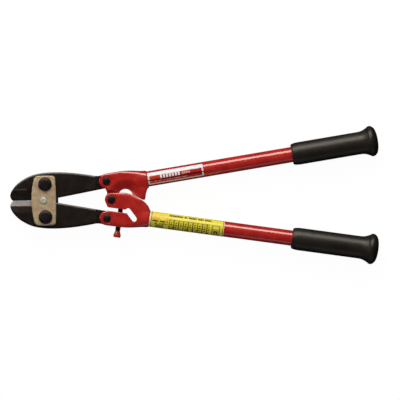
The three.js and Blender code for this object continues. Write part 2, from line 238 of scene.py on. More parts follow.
def upper_fitting_outline():
    end = FITTING_ENDS["upper"]
    pen = Pen(0, EAR).round(0, 0, EAR, 90, 250).to(-1.8, -13.0).to(-1.7, -15.8)
    pen.round(*TOGGLE, TONGUE, 125, 350)
    pen.round(*ARCH["centre"], ARCH["radius"], 190, 4)
    pen.to(40.4, -30.3).bend(43.3, -32.0, 44.3, -28.0).bend(46.2, -20.5, end, -15.6)
    pen.to(end, 4.5)
    return pen.through((42, 6.4), (31, 8.3), (20, 9.1), (10, 9.3), (0, EAR)).points


def lower_fitting_outline():
    end = FITTING_ENDS["lower"]
    pen = Pen(-0.8, EAR - 0.03).round(0, 0, EAR, 95, 265)
    pen.to(-0.9, -13.0).to(-1.5, -14.4).to(-4.2, -18.6)
    pen.round(*TOGGLE, TOGGLE_EAR, 160, 262)
    pen.through((10, -33.1), (19, -34.0), (26, -33.0), (33.5, -30.4), (41.2, -27.2),
                (47.5, -22.7), (50.6, -18.4), (end, -14.5))
    pen.to(end, 4.3)
    pen.through((45, 5.7), (37.5, 7.0), (27, 8.4), (18, 9.0), (8, 9.0), (-0.8, EAR - 0.03))
    return pen.points


# -------- distance fields
#
# Each function gives the distance to a shape at points (x, y, z), negative inside it. A larger
# blend rounds the line where two shapes meet, as a forging die does.


def outline_distance(points, x, y):
    x, y = np.broadcast_arrays(x, y)
    nearest = np.full(x.shape, np.inf)
    inside = np.zeros(x.shape, bool)
    corners = [p for p, q in zip(points, points[1:] + points[:1]) if math.dist(p, q) > 1e-6]
    for (ax, ay), (bx, by) in zip(corners, corners[1:] + corners[:1]):
        ex, ey, wx, wy = bx - ax, by - ay, x - ax, y - ay
        t = np.clip((wx * ex + wy * ey) / (ex * ex + ey * ey), 0, 1)
        nearest = np.minimum(nearest, (wx - ex * t) ** 2 + (wy - ey * t) ** 2)
        if ay != by:
            inside ^= ((ay > y) != (by > y)) & (wx < ex * wy / ey)
    return np.where(inside, -1, 1) * np.sqrt(nearest)


def both(a, b, blend=0.0):
    """Where two shapes overlap."""
    if not blend:
        return np.maximum(a, b)
    h = np.maximum(blend - np.abs(a - b), 0) / blend
    return np.maximum(a, b) + h * h * blend / 4


def either(a, b, blend=0.0):
    return -both(-a, -b, blend)


def without(a, b, blend):
    return both(a, -b, blend)


def thick(flat, z, low, high, edge):
    """An outline's distance made into a plate between two heights, with rounded edges."""
    across, over = flat + edge, np.abs(z - (low + high) / 2) - (high - low) / 2 + edge
    outside = np.hypot(np.maximum(across, 0), np.maximum(over, 0))
    return np.minimum(np.maximum(across, over), 0) + outside - edge


def disc(x, y, centre, radius):
    return np.hypot(x - centre[0], y - centre[1]) - radius


def rectangle(x, y, low, high):
    dx = np.abs(x - (low[0] + high[0]) / 2) - (high[0] - low[0]) / 2
    dy = np.abs(y - (low[1] + high[1]) / 2) - (high[1] - low[1]) / 2
    outside = np.hypot(np.maximum(dx, 0), np.maximum(dy, 0))
    return np.minimum(np.maximum(dx, dy), 0) + outside


def capsule(x, y, start, end, radius):
    """A slot with round ends."""
    along = np.subtract(end, start)
    t = ((x - start[0]) * along[0] + (y - start[1]) * along[1]) / (along @ along)
    t = np.clip(t, 0, 1)
    return np.hypot(x - start[0] - along[0] * t, y - start[1] - along[1] * t) - radius


# -------- meshes


def add_object(name, data):
    """A new object in the scene."""
    result = bpy.data.objects.new(name, data)
    bpy.context.scene.collection.objects.link(result)
    return result


def make_object(name, points, faces, place, side=1, crisp_angle=None):
    """A smooth-shaded object from points in millimetres in a local frame, at `place`.

    Its points are stored in the row frame, as a CAD node's are."""
    mesh = bpy.data.meshes.new(name)
    points = np.asarray(points, float) * (MM, side * MM, MM)
    if side < 0:
        faces = [face[::-1] for face in faces]
    mesh.from_pydata(points.tolist(), [], faces)
    mesh.transform(place)
    mesh.shade_smooth()
    if crisp_angle:
        mesh.set_sharp_from_angle(angle=math.radians(crisp_angle))
    return add_object(name, mesh)


def skin(distance, low, high, cell):
    """Points and faces of the surface where a distance field is zero, one point to a grid cell."""
    axes = [np.arange(a - 2 * cell, b + 3 * cell, cell) for a, b in zip(low, high)]
    grid = np.meshgrid(*axes, indexing="ij", sparse=True)
    field = distance(*grid) + np.zeros([len(axis) for axis in axes])
    inside = field < 0
    cells = np.array(field.shape) - 1
    edges, quads = [], []
    for axis in range(3):
        # The grid's edges along this axis that the surface crosses, and where.
        step = np.eye(3, dtype=int)[axis]
        shifted = np.roll(inside, -1, axis)
        at = np.argwhere(inside != shifted)
        at = at[at[:, axis] < cells[axis]]
        here, there = field[tuple(at.T)], field[tuple((at + step).T)]
        crossing = at + step * (here / (here - there))[:, None]
        # The points of the four cells round such an edge are the corners of a face.
        around = []
        for b, c in ((-1, -1), (0, -1), (0, 0), (-1, 0)):
            corner = at.copy()
            corner[:, (axis + 1) % 3] += b
            corner[:, (axis + 2) % 3] += c
            around.append(np.ravel_multi_index(corner.T, cells))
            edges.append((around[-1], crossing))
        quad = np.stack(around, 1)
        outward = here < 0
        quads.append(np.where(outward[:, None], quad, quad[:, ::-1]))
    # A cell's point is the mean of the crossings on its own edges.
    owners = np.concatenate([owner for owner, _ in edges])
    crossings = np.concatenate([crossing for _, crossing in edges])
    used, index = np.unique(owners, return_inverse=True)
    count = np.bincount(index)
    points = np.stack([np.bincount(index, crossings[:, i]) / count for i in range(3)], 1)
    origin = [axis[0] for axis in axes]
    faces = np.searchsorted(used, np.concatenate(quads))
    return points * cell + origin, faces.tolist()


def turned(profile, facets, shape=None, closed=False):
    """Points and faces of a piece round Z through [radius, height] points.

    The profile starts and ends on the axis, or closes on itself. `shape` changes a ring's
    radius by angle, for a hexagon or a thread."""
    angles = np.linspace(0, 2 * math.pi, facets, endpoint=False)
    points, rings, faces = [], [], []
    for radius, height in profile:
        rings.append(len(points))
        if radius <= 0:
            points.append((0, 0, height))
            continue
        radii = shape(radius, height, angles) if shape else np.full(facets, radius)
        points.extend(zip(radii * np.cos(angles), radii * np.sin(angles), [height] * facets))
    pairs = list(zip(range(len(profile)), range(1, len(profile))))
    if closed:
        pairs.append((len(profile) - 1, 0))
    for a, b in pairs:
        for i in range(facets):
            j = (i + 1) % facets
            if profile[a][0] <= 0:
                faces.append((rings[a], rings[b] + j, rings[b] + i))
            elif profile[b][0] <= 0:
                faces.append((rings[a] + i, rings[a] + j, rings[b]))
            else:
                faces.append((rings[a] + i, rings[a] + j, rings[b] + j, rings[b] + i))
    return np.array(points), faces


def eased(profile, reach, closed=False):
    """A profile with its corners rounded over `reach`."""
    steps = 4
    count = len(profile)
    result = []
    for i, corner in enumerate(profile):
        if not closed and i in (0, count - 1):
            result.append(tuple(corner))
            continue
        before, after = np.array(profile[i - 1]), np.array(profile[(i + 1) % count])
        corner = np.array(corner)
        into, out = before - corner, after - corner
        near = min(reach, np.linalg.norm(into) * 0.45, np.linalg.norm(out) * 0.45)
        start = corner + into / np.linalg.norm(into) * near
        end = corner + out / np.linalg.norm(out) * near
        for t in np.linspace(0, 1, steps + 1):
            result.append(tuple((1 - t) ** 2 * start + 2 * t * (1 - t) * corner + t * t * end))
    return result


def divided(profile, step):
    """A profile with extra points, so that no stretch is longer than `step`."""
    result = [profile[0]]
    for start, end in zip(profile, profile[1:]):
        parts = max(1, math.ceil(math.dist(start, end) / step))
        for t in np.linspace(0, 1, parts + 1)[1:]:
            result.append(tuple(np.array(start) * (1 - t) + np.array(end) * t))
    return result


def along_x(points):
    """Lays a piece that was turned about Z along X."""
    return np.stack([points[:, 2], points[:, 1], -points[:, 0]], 1)


def finish_piece(piece, body, node, slot, *materials):
    """Gives a piece its materials and its body, and hides the CAD node that it replaces. `slot` is
    not used.
    """
    for material in materials:
        piece.data.materials.append(material)
    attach(piece, body)
    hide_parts(node)


# -------- material helpers


def rgb(red, green, blue):
    """A colour of 0 to 255 in each channel, as shaders take it."""
    def linear(channel):
        share = channel / 255
        return share / 12.92 if share <= 0.04045 else ((share + 0.055) / 1.055) ** 2.4
    return (linear(red), linear(green), linear(blue), 1.0)


class Num:
    """A value in a material, with arithmetic."""

    def __init__(self, surface, socket):
        self.surface, self.socket = surface, socket

    def op(self, operation, *others):
        return self.surface.math(operation, self, *others)

    def __add__(self, other):
        return self.op("ADD", other)

    def __mul__(self, other):
        return self.op("MULTIPLY", other)

    def within(self, low, high):
        """1 from low to high and 0 elsewhere."""
        return self.op("COMPARE", (low + high) / 2, (high - low) / 2)

    def above(self, level):
        return self.op("GREATER_THAN", level)

    def ramp(self, low, high):
        """0 at low, 1 at high and smooth between."""
        node = self.surface.node("ShaderNodeMapRange", {"interpolation_type": "SMOOTHSTEP"},
                                 Value=self, From_Min=low, From_Max=high)
        return Num(self.surface, node.outputs["Result"])


class Surface:
    """A material under construction: a Principled shader and the nodes that feed it.

    Its coordinates are millimetres in the row frame, or in another frame where one is given."""

    def __init__(self, name, frame_of=None):
        self.material = bpy.data.materials.new(name)
        self.material.use_nodes = True
        self.tree = self.material.node_tree
        self.shader = self.tree.nodes["Principled BSDF"]
        place = self.node("ShaderNodeTexCoord").outputs["Object"]
        if frame_of:
            place = self.node("ShaderNodeMapping", {"vector_type": "TEXTURE"}, Vector=place,
                              Location=frame_of.to_translation(),
                              Rotation=frame_of.to_euler()).outputs[0]
        scaled = self.node("ShaderNodeVectorMath", {"operation": "SCALE"}, Scale=1 / MM)
        self.feed(scaled.inputs[0], place)
        self.place = scaled.outputs[0]
        parts = self.node("ShaderNodeSeparateXYZ", Vector=self.place)
        self.x, self.y, self.z = (Num(self, parts.outputs[i]) for i in range(3))

    def node(self, kind, settings=None, **inputs):
        node = self.tree.nodes.new(kind)
        for name, value in (settings or {}).items():
            setattr(node, name, value)
        for name, value in inputs.items():
            self.feed(node.inputs[name.replace("_", " ")], value)
        return node

    def feed(self, socket, value):
        if isinstance(value, Num):
            value = value.socket
        if isinstance(value, bpy.types.NodeSocket):
            self.tree.links.new(value, socket)
        else:
            socket.default_value = value

    def math(self, operation, *values):
        node = self.node("ShaderNodeMath", {"operation": operation})
        for socket, value in zip(node.inputs, values):
            self.feed(socket, value)
        return Num(self, node.outputs[0])

    def set(self, **inputs):
        for name, value in inputs.items():
            self.feed(self.shader.inputs[name.replace("_", " ")], value)
        return self

    def noise(self, size, detail=2.0, stretch=(1, 1, 1), roughness=0.5):
        """Noise from 0 to 1 with features of about `size` millimetres, longer along `stretch`."""
        mapping = self.node("ShaderNodeMapping", Vector=self.place,
                            Scale=[1 / (size * s) for s in stretch])
        node = self.node("ShaderNodeTexNoise", Vector=mapping.outputs[0], Scale=1.0,
                         Detail=detail, Roughness=roughness)
        return Num(self, node.outputs["Fac"])

    def dice(self, value):
        """A random number from 0 to 1 for each value."""
        node = self.node("ShaderNodeTexWhiteNoise", {"noise_dimensions": "1D"}, W=value)
        return Num(self, node.outputs["Value"])

    def edges(self, low, high):
        """1 at `high`: along outer edges above a half, in hollows below it. 0 at `low`."""
        geometry = self.node("ShaderNodeNewGeometry")
        return Num(self, geometry.outputs["Pointiness"]).ramp(low, high)

    def mix(self, share, first, second):
        node = self.node("ShaderNodeMix", {"data_type": "RGBA"})
        self.feed(node.inputs["Factor"], share)
        # Colour sockets share their names with other types, so they go by number.
        self.feed(node.inputs[6], first)
        self.feed(node.inputs[7], second)
        return node.outputs[2]

    def bump(self, height, depth):
        """Fine relief `depth` millimetres high."""
        node = self.node("ShaderNodeBump", Height=height, Distance=depth * MM, Strength=1.0)
        return self.set(Normal=node.outputs[0])


# -------- materials


def red_paint(name, relief):
    """Glossy enamel. `relief` is how much of the forged skin shows through it."""
    s = Surface(name)
    blotch = s.noise(14, 3)
    colour = s.mix(blotch.ramp(0.35, 0.7), rgb(190, 33, 33), rgb(208, 47, 40))
    # Painted highlight: a lighter, pinker red along outer edges.
    colour = s.mix(s.edges(0.53, 0.60) * 0.5, colour, rgb(222, 70, 58))
    # Painted shade: a darker red in hollows.
    colour = s.mix(s.edges(0.485, 0.42) * 0.6, colour, rgb(96, 10, 14))
    peel, grain = s.noise(1.6, 2), s.noise(0.5, 2)
    s.set(Base_Color=colour, Roughness=grain.ramp(0.2, 0.8) * 0.12 + 0.32,
          Coat_Weight=1.0, Coat_Roughness=0.05, Coat_IOR=2.0, Specular_IOR_Level=0.3)
    return s.bump(peel + s.noise(5, 2) * (3 * relief), 0.008 + 0.1 * relief).material


def black_forging(name, shine):
    """Black oxide on forged skin, lighter along its edges: partly worn to bare steel, partly a
    painted highlight.
    """
    s = Surface(name, HEAD)
    mottle = s.noise(9, 4).ramp(0.35, 0.7)
    colour = s.mix(mottle, rgb(33, 25, 23), rgb(45, 36, 33))
    # Lighter grey along outer edges: wear to bare steel, and partly a painted highlight.
    colour = s.mix(s.edges(0.52, 0.60) * s.noise(2.5, 3).ramp(0.3, 0.6), colour,
                   rgb(112, 108, 102))
    # A painted highlight, in the colour of bare steel, where the forged bevel above the upper blade
    # meets the face.
    crease_highlight = s.y.within(*CREASE["y"]) * s.x.within(*CREASE["x"]) * s.noise(1.5, 2).ramp(0.3, 0.6)
    colour = s.mix(crease_highlight * 0.7, colour, rgb(128, 120, 114))
    skin_relief = s.noise(2.2, 4, roughness=0.6) + s.noise(0.45, 2) * 0.35
    s.set(Base_Color=colour, Metallic=0.2 * shine, Roughness=s.noise(1.2, 3) * 0.2 + 0.36,
          Specular_IOR_Level=0.5 * shine, Coat_Weight=0.5 * shine,
          Coat_Roughness=0.14, Coat_IOR=1.9)
    return s.bump(skin_relief, 0.1).material


def ground_steel(name, light, dark):
    """A ground face: fine scratches square to the cutting edge."""
    s = Surface(name)
    scratch = s.noise(0.3, 3, stretch=(1, 14, 14)) * 0.7 + s.noise(4, 2) * 0.3
    colour = s.mix(scratch.ramp(0.35, 0.65), dark, light)
    s.set(Base_Color=colour, Metallic=0.3, Roughness=scratch * 0.2 + 0.5,
          Specular_IOR_Level=0.3)
    return s.bump(scratch, 0.04).material


def black_hardware():
    """Black oxide on turned and stamped steel."""
    s = Surface("black_hardware")
    colour = s.mix(s.noise(3, 3).ramp(0.4, 0.7), rgb(33, 27, 28), rgb(48, 42, 44))
    colour = s.mix(s.edges(0.53, 0.62) * 0.6, colour, rgb(80, 78, 76))
    s.set(Base_Color=colour, Metallic=0.3, Roughness=s.noise(1.2, 3) * 0.2 + 0.3)
    return s.bump(s.noise(0.8, 3), 0.05).material


def zinc_plate():
    """Yellow-passivated zinc: a beige metal with faint pink, gold and green clouds."""
    s = Surface("zinc_plate")
    cloud = s.noise(7, 3, roughness=0.6)
    colour = s.mix(cloud.ramp(0.38, 0.5), rgb(220, 208, 176), rgb(214, 188, 150))
    colour = s.mix(cloud.ramp(0.5, 0.62), colour, rgb(204, 168, 160))
    colour = s.mix(s.noise(5, 2, (1.3, 0.8, 1)).ramp(0.58, 0.66) * 0.6, colour, rgb(210, 200, 112))
    speck = s.noise(0.9, 3, roughness=0.7)
    colour = s.mix(speck.ramp(0.5, 0.64) * 0.5, colour, rgb(152, 134, 106))
    s.set(Base_Color=colour, Metallic=0.25, Roughness=speck * 0.25 + 0.3)
    return s.bump(speck + s.noise(2.5, 2) * 0.8, 0.06).material


def bright_steel():
    """Bright zinc on a riveted pin, slightly pitted."""
    s = Surface("bright_steel")
    speck = s.noise(1.1, 3)
    colour = s.mix(speck.ramp(0.4, 0.6), rgb(176, 178, 166), rgb(232, 230, 220))
    s.set(Base_Color=colour, Metallic=0.3, Roughness=speck * 0.2 + 0.42)
    return s.bump(speck, 0.08).material


def grip_rubber():
    """Moulded black rubber with a fine grain and a little dust."""
    s = Surface("grip_rubber")
    grain = s.noise(0.35, 2)
    colour = s.mix(s.noise(20, 4).ramp(0.35, 0.7), rgb(33, 28, 24), rgb(42, 36, 31))
    dust = s.noise(1.1, 4, roughness=0.7).ramp(0.62, 0.78)
    colour = s.mix(dust * 0.2, colour, rgb(80, 72, 66))
    s.set(Base_Color=colour, Roughness=grain * 0.12 + 0.36, Specular_IOR_Level=0.8)
    return s.bump(grain + s.noise(2.5, 2) * 0.5, 0.05).material


class Print:
    """Draws plain marks on a label: u along the tube, s round it from the top, outwards."""

    def __init__(self, name, half, ground):
        self.surface = Surface(name, tube_frame(half))
        s = self.surface
        self.u = s.x
        outward = s.y * HALVES[half]
        self.s = s.math("ARCTAN2", outward, s.z) * LABEL_RADIUS
        self.colour = s.mix(s.noise(12, 2).ramp(0.3, 0.7), ground, [c * 0.9 for c in ground])

    def area(self, u0, u1, s0, s1):
        return self.u.within(u0, u1) * self.s.within(s0, s1)

    def fill(self, share, colour):
        self.colour = self.surface.mix(share, self.colour, colour)

    def blocks(self, u0, u1, s0, s1, pitch, seed, colour, missing, full):
        """A row of blocks at a pitch. `missing` is the share that are left out, and `full` is
        the share of the pitch that a block fills."""
        scaled = self.u * (1 / pitch)
        inside = scaled.op("FRACT").within(0, full)
        chosen = self.surface.dice(scaled.op("FLOOR") + seed).above(missing)
        self.fill(self.area(u0, u1, s0, s1) * inside * chosen, colour)

    def material(self):
        s = self.surface
        s.set(Base_Color=self.colour, Roughness=0.34, Coat_Weight=0.35, Coat_Roughness=0.1)
        return s.bump(s.noise(3, 2), 0.05).material


def red_label():
    """A white frame with a broad top band, and a row of plain blocks on red."""
    start, end = LABELS["upper"]
    white, pink, dark = rgb(244, 246, 255), rgb(232, 178, 172), rgb(88, 12, 18)
    p = Print("red_label", "upper", rgb(196, 26, 26))
    p.fill(p.area(start, 66, -1.4, 2.6) * 0.7, rgb(212, 66, 26))
    p.fill(p.area(start, end, -8.7, -6.3), rgb(255, 216, 206))
    p.fill(p.area(start + 2.4, end - 2.6, -6.6, -4.2), rgb(186, 36, 40))
    p.blocks(54, 100, -5.0, -4.0, 1.3, 8, pink, missing=0.3, full=0.85)
    p.fill(p.area(start + 2.4, end - 2.6, -3.1, -2.1), dark)
    p.fill(p.area(98, end - 2.6, -3.4, -1.2) * 0.7, dark)
    p.fill(p.area(66, 92.5, -1.9, 2.9) * 0.5, rgb(120, 30, 22))
    p.blocks(66.4, 92.4, -1.6, 2.7, 3.7, 3, white, missing=0.0, full=0.66)
    p.blocks(93.5, 104, -0.8, 1.9, 2.1, 5, pink, missing=0.1, full=0.7)
    for u0, u1 in ((start + 0.2, start + 2.1), (end - 2.3, end - 0.3)):
        p.fill(p.area(u0, u1, -7.9, -3.2), white)
        p.fill(p.area(u0, u1, -1.7, 3.1), white)
    # The broad top band is white print, and partly a painted highlight where the tube's glare falls.
    p.fill(p.area(start + 0.2, end - 0.3, 2.9, 8.1), white)
    return p.material()


def yellow_label():
    """Plain blocks of ink in the places of text, a ruled chart and a picture."""
    start, end = LABELS["lower"]
    ink, olive, cream = rgb(66, 58, 20), rgb(150, 138, 44), rgb(250, 238, 196)
    lemon, orange = rgb(255, 246, 70), rgb(252, 190, 84)
    p = Print("yellow_label", "lower", rgb(255, 242, 68))
    patchy = p.surface.noise(9, 2).ramp(0.3, 0.62)
    p.fill(p.area(start, 76, -9.5, -0.2) * patchy, orange)
    p.fill(p.area(start, end, -14.0, -6.4) * 0.75, lemon)
    # Two lines of large blocks over a dark patch.
    p.fill(p.area(60, 70.5, 5.4, 12.5) * 0.8, rgb(122, 112, 52))
    p.blocks(57.5, 76, 3.2, 5.0, 1.45, 20, ink, missing=0.16, full=0.9)
    p.blocks(56, 76.5, 0.2, 2.0, 1.45, 47, ink, missing=0.2, full=0.9)
    # A chart: ruled columns, each with marks in it.
    pitch = 5.9
    chart = p.area(77, 127.4, -2.9, 13)
    share = (p.u * (1 / pitch)).op("FRACT")
    p.fill(chart * 0.22, olive)
    p.fill(chart * p.s.within(0.0, 2.4) * share.within(0.22, 0.86), lemon)
    p.fill(chart * share.within(-0.1, 0.18), ink)
    p.fill(chart * p.s.within(-2.9, -2.2), olive)
    p.fill(chart * p.s.within(0.3, 1.7) * share.within(0.40, 0.72), ink)
    p.fill(chart * p.s.within(3.0, 4.4) * share.within(0.34, 0.76), ink)
    p.blocks(77, 127.4, 6.0, 7.6, 1.5, 61, ink, missing=0.35, full=0.8)
    p.blocks(77, 127.4, 8.6, 11.5, 1.9, 75, ink, missing=0.3, full=0.7)
    p.blocks(76, 129, -9.8, -7.0, 1.7, 90, rgb(86, 80, 22), missing=0.14, full=0.86)
    # A framed plain picture.
    p.fill(p.area(130.2, 140.6, -2.6, 12), olive)
    p.fill(p.area(131.4, 139.6, -1.6, 2.0), lemon)
    p.fill(p.area(131.4, 139.6, 2.6, 10.6), rgb(224, 204, 84))
    p.fill(p.area(133.0, 138.0, 4.4, 9.4), rgb(84, 66, 26))
    p.fill(p.area(134.9, 136.1, 6.2, 9.4), rgb(224, 204, 84))
    # Borders round the tube at both ends.
    p.fill(p.u.within(start, start + 1.6), cream)
    p.fill(p.u.within(start + 1.9, start + 2.9), olive)
    p.fill(p.u.within(end - 1.9, end - 1.3), ink)
    p.fill(p.u.within(end - 1.3, end), rgb(250, 206, 150))
    return p.material()


RED_FORGING = red_paint("red_enamel_on_forging", 0.6)
RED_TUBING = red_paint("red_enamel_on_tube", 0.0)
FORGING = black_forging("black_forging", 1.0)
DULL_FORGING = black_forging("black_forging_bevel", 0.2)
# The upper jaw's ground bevel faces away from the light, so its copy of the ground steel is darkened
# as painted shade.
GROUND = {
    "upper": ground_steel("ground_steel_painted_shade", rgb(60, 56, 54), rgb(36, 33, 32)),
    "lower": ground_steel("ground_steel_light", rgb(166, 161, 158), rgb(132, 126, 122)),
}
HARDWARE = black_hardware()
ZINC = zinc_plate()
STEEL = bright_steel()
RUBBER = grip_rubber()
LABEL_PRINTS = {"upper": red_label(), "lower": yellow_label()}

# -------- head


def sloping(y, z, low, high):
    """Distance to what lies under the plane through two (y, z) points."""
    rise, run = high[1] - low[1], high[0] - low[0]
    return ((z - low[1]) * run - (y - low[0]) * rise) / math.hypot(rise, run)


def jaw(half):
    """Blade with its bevels, boss round the jaw bolt, and a thinned tail."""

    def distance(x, y, z):
        flat = outline_distance(jaw_outline(), x, y)
        body = thick(flat, z, -JAW_HALF, JAW_HALF, 0.5)
        body = both(body, sloping(-flat, np.abs(z), *JAW_CHAMFER), 0.5)
        bevel = both(sloping(y, np.abs(z), GROUND_EDGE, GROUND_TOP),
                     sloping(y, np.abs(z), GROUND_TOP, FORGED_TOP), 0.15)
        body = both(body, np.minimum(bevel, BLADE_END_X - x), 0.3)
        body = without(body, np.maximum(TAIL_STEP_X - x, TAIL_HALF - np.abs(z)), 0.8)
        pin_slot = capsule(x, y, (PIN["x"], 0), (PIN["x"] + PIN_TRAVEL, 0), PIN_BORE)
        body = without(body, pin_slot, 0.4)
        body = without(body, disc(x, y, (0, JAW_PIVOT_Y), JAW_BORE), 0.4)
        return without(body, disc(x, y, LINK, LINK_BORE), 0.4)

    points, faces = skin(distance, (-44, 0, -6.5), (85, 36, 6.5), CELL)
    piece = make_object(f"{half}_jaw_forging", points, faces, HEAD, HALVES[half])
    finish_piece(piece, f"{half}_jaw", f"{half}_jaw", "black_forging",
                 FORGING, GROUND[half], DULL_FORGING)
    paint_bevels(piece)


def paint_bevels(piece):
    """Puts a jaw's second material on its ground bevels and its third on its forged ones."""
    slope = math.atan2(GROUND_TOP[1] - GROUND_EDGE[1], GROUND_TOP[0] - GROUND_EDGE[0])
    to_head = HEAD.inverted()
    for polygon in piece.data.polygons:
        x, y, _ = to_head @ polygon.center / MM
        y = abs(y)
        tilt = math.acos(min(1, abs(polygon.normal.z)))
        if x < BLADE_END_X and y < GROUND_TOP[0] + 0.2 and abs(tilt - slope) < 0.12:
            polygon.material_index = 1
        elif x < BLADE_END_X and y < CREASE["y"][0] and 0.1 < tilt < slope:
            polygon.material_index = 2


def strap(which):
    """Plate across the jaw bolts, chamfered round its outer face."""
    back = STRAP_BACKS[which]
    low, high = (STRAP_INNER, STRAP_OUTER) if which == "front" else (-STRAP_OUTER, -STRAP_INNER)

    def distance(x, y, z):
        flat = outline_distance(strap_outline(back), x, y)
        body = thick(flat, z, low, high, 0.7)
        outer = np.abs(z) - STRAP_OUTER
        body = both(body, (flat + outer + STRAP_CHAMFER) / math.sqrt(2), 0.25)
        for side in HALVES.values():
            body = without(body, disc(x, y, (0, side * JAW_PIVOT_Y), JAW_BORE), 0.3)
        return without(body, disc(x, y, (PIN["x"], 0), PIN_BORE), 0.3)

    points, faces = skin(distance, (-18, -32, low), (17, 32, high), STRAP_CELL)
    piece = make_object(f"{which}_strap_plate", points, faces, HEAD)
    # Painted shade: the rear strap is black, a dark sheet that stands in for the shade in the throat
    # between the jaws.
    slot, material = ("zinc_plate", ZINC) if which == "front" else ("black_hardware", HARDWARE)
    finish_piece(piece, "head", f"{which}_strap", slot, material)


def hexagon(flats, angles):
    """Radii of a hexagon, by its size across flats."""
    return flats / 2 / np.cos(np.mod(angles, math.pi / 3) - math.pi / 6)


def thread(pitch, depth, low, high):
    """Gives rings between two heights a screw thread."""
    def radii(radius, height, angles):
        if not low < height < high:
            return np.full(len(angles), radius)
        phase = np.mod(height / pitch - angles / (2 * math.pi), 1.0)
        fade = min(1.0, (height - low) / pitch, (high - height) / pitch)
        return radius - depth * fade * np.abs(2 * phase - 1)
    return radii


def bolt(name, body, spec, place, seat, end, recess=0.0):
    """A low domed head, and a threaded end below the nut. `recess` is how deep its seat is."""
    under, top = seat - recess + SEAT_GAP, seat + GAP + spec["height"]
    head, crown, shank = spec["head"], spec["top"], spec["shank"]
    thread_low = end + TIP_CHAMFER
    thread_high = -seat - GAP - spec["nut"] + 1.0
    upper = eased([
        (0, top), (crown * 0.6, top - 0.06), (crown, top - 0.3),
        (head - 0.6, top - spec["height"] * 0.48), (head, top - spec["height"] * 0.66),
        (head, under), (shank, under), (shank, thread_high),
    ], 0.8)
    threaded = divided([(shank, thread_high), (shank, thread_low)], THREAD_STEP)
    profile = upper + threaded[1:] + [(shank - TIP_CHAMFER, end), (0, end)]
    threads = thread(THREAD["pitch"], THREAD["depth"], thread_low, thread_high)
    points, faces = turned(profile[::-1], 72, threads)
    piece = make_object(f"{name}_bolt_turned", points, faces, place, crisp_angle=40)
    finish_piece(piece, body, f"{name}_bolt", "black_hardware", HARDWARE)


def nut(name, body, spec, place, seat, recess=0.0):
    """A hexagonal nut with both faces chamfered and its bore countersunk."""
    corner = spec["flats"] / math.sqrt(3)
    high, low = -seat - SEAT_GAP + recess, -seat - GAP - spec["nut"]
    bore = spec["shank"] + 0.12
    sink = 0.5
    face_edge = spec["flats"] / 2 - 0.3
    chamfer = (corner - face_edge) * 0.55
    corner_ease = 0.35
    outside = divided([(face_edge, low), (corner, low + chamfer)], 0.25)
    outside += divided([(corner, high - chamfer), (face_edge, high)], 0.25)
    inside = [(bore + sink, high), (bore, high - sink), (bore, low + sink)]
    profile = [(bore + sink, low), *outside, *inside]

    def radii(radius, height, angles):
        if radius <= bore + sink:
            return np.full(len(angles), radius)
        full_size = radius > corner - 0.01
        return np.minimum(hexagon(spec["flats"], angles), radius - corner_ease * full_size)

    points, faces = turned(profile, 144, radii, closed=True)
    piece = make_object(f"{name}_nut_hex", points, faces, place, crisp_angle=25)
    finish_piece(piece, body, f"{name}_nut", "black_hardware", HARDWARE)


def centre_pin():
    """Riveted over at both ends, with a punch mark."""
    seat = STRAP_OUTER + GAP
    tip = seat + PIN["height"]
    head, shank = PIN["head"], PIN["shank"]
    upper = [
        (0, tip - 0.45), (1.0, tip - 0.1), (head - 1.4, tip), (head, seat + 0.35),
        (head, seat - 0.2), (shank, seat - 0.2),
    ]
    half = eased(upper, 0.5)
    profile = [(r, -z) for r, z in half] + half[::-1]
    points, faces = turned(profile, 64)
    place = HEAD @ Matrix.Translation((PIN["x"] * MM, 0, 0))
    piece = make_object("centre_pin_rivet", points, faces, place, crisp_angle=45)
    finish_piece(piece, "head", "centre_pin", "bright_steel", STEEL)


def build_head():
    for which in STRAP_BACKS:
        strap(which)
    centre_pin()
    for half, side in HALVES.items():
        jaw(half)
        place = HEAD @ Matrix.Translation((0, side * JAW_PIVOT_Y * MM, 0))
        floor_level = -(MID_HEIGHT / MM)
        bolt(f"{half}_jaw", "head", JAW_BOLT, place, STRAP_OUTER, floor_level)
        nut(f"{half}_jaw", "head", JAW_BOLT, place, STRAP_OUTER)


# -------- handle fittings


def forged_plate(outline, u, v, z, end):
    """A bevelled plate that a soft blend draws into a round collar, with a spigot beyond."""
    flat = outline_distance(outline, u, v)
    body = thick(flat, z, -FITTING_HALF, FITTING_HALF, 0.8)
    body = both(body, sloping(-flat, np.abs(z), *FITTING_BEVEL), 1.0)
    off = v - TUBE_V
    across = np.hypot(off, z)
    # Towards the other handle the distance is held back, so that the lug stays whole.
    held = np.maximum(WAIST["squash"] * off, -WAIST["limit"])
    drawn = np.hypot(np.where(off < 0, held, off), z)
    waist = (drawn - COLLAR["radius"] - WAIST["taper"] * (end - u)) * 0.95
    fall = COLLAR["slope"] * np.abs(end - COLLAR["crest"] - u)
    collar = thick(across - COLLAR["radius"] + fall, u, end - COLLAR["length"], end, 1.0)
    spigot = thick(across - SPIGOT["radius"], u, end - 2, end + SPIGOT["length"], 0.5)
    return either(either(both(body, waist, 3.0), collar, 3.0), spigot)


def without_fork(body, u, v, z):
    """Cuts the space that a jaw tail turns in."""
    swing = Pen(0, -FORK_RADIUS).to(-25, -FORK_RADIUS).to(-25, 20).to(6.6, 20).to(6.6, 7)
    flat = np.minimum(disc(u, v, (0, 0), FORK_RADIUS), outline_distance(swing.points, u, v))
    body = without(body, np.maximum(flat, np.abs(z) - FORK_HALF), 0.4)
    return without(body, disc(u, v, (0, 0), LINK_BORE), 0.3)


def spot_face(body, u, v, z, centre):
    """A shallow turned seat for a bolt head or nut."""
    flat = disc(u, v, centre, SPOT_FACE["radius"])
    return without(body, np.maximum(flat, FITTING_HALF - SPOT_FACE["depth"] - np.abs(z)), 0.25)


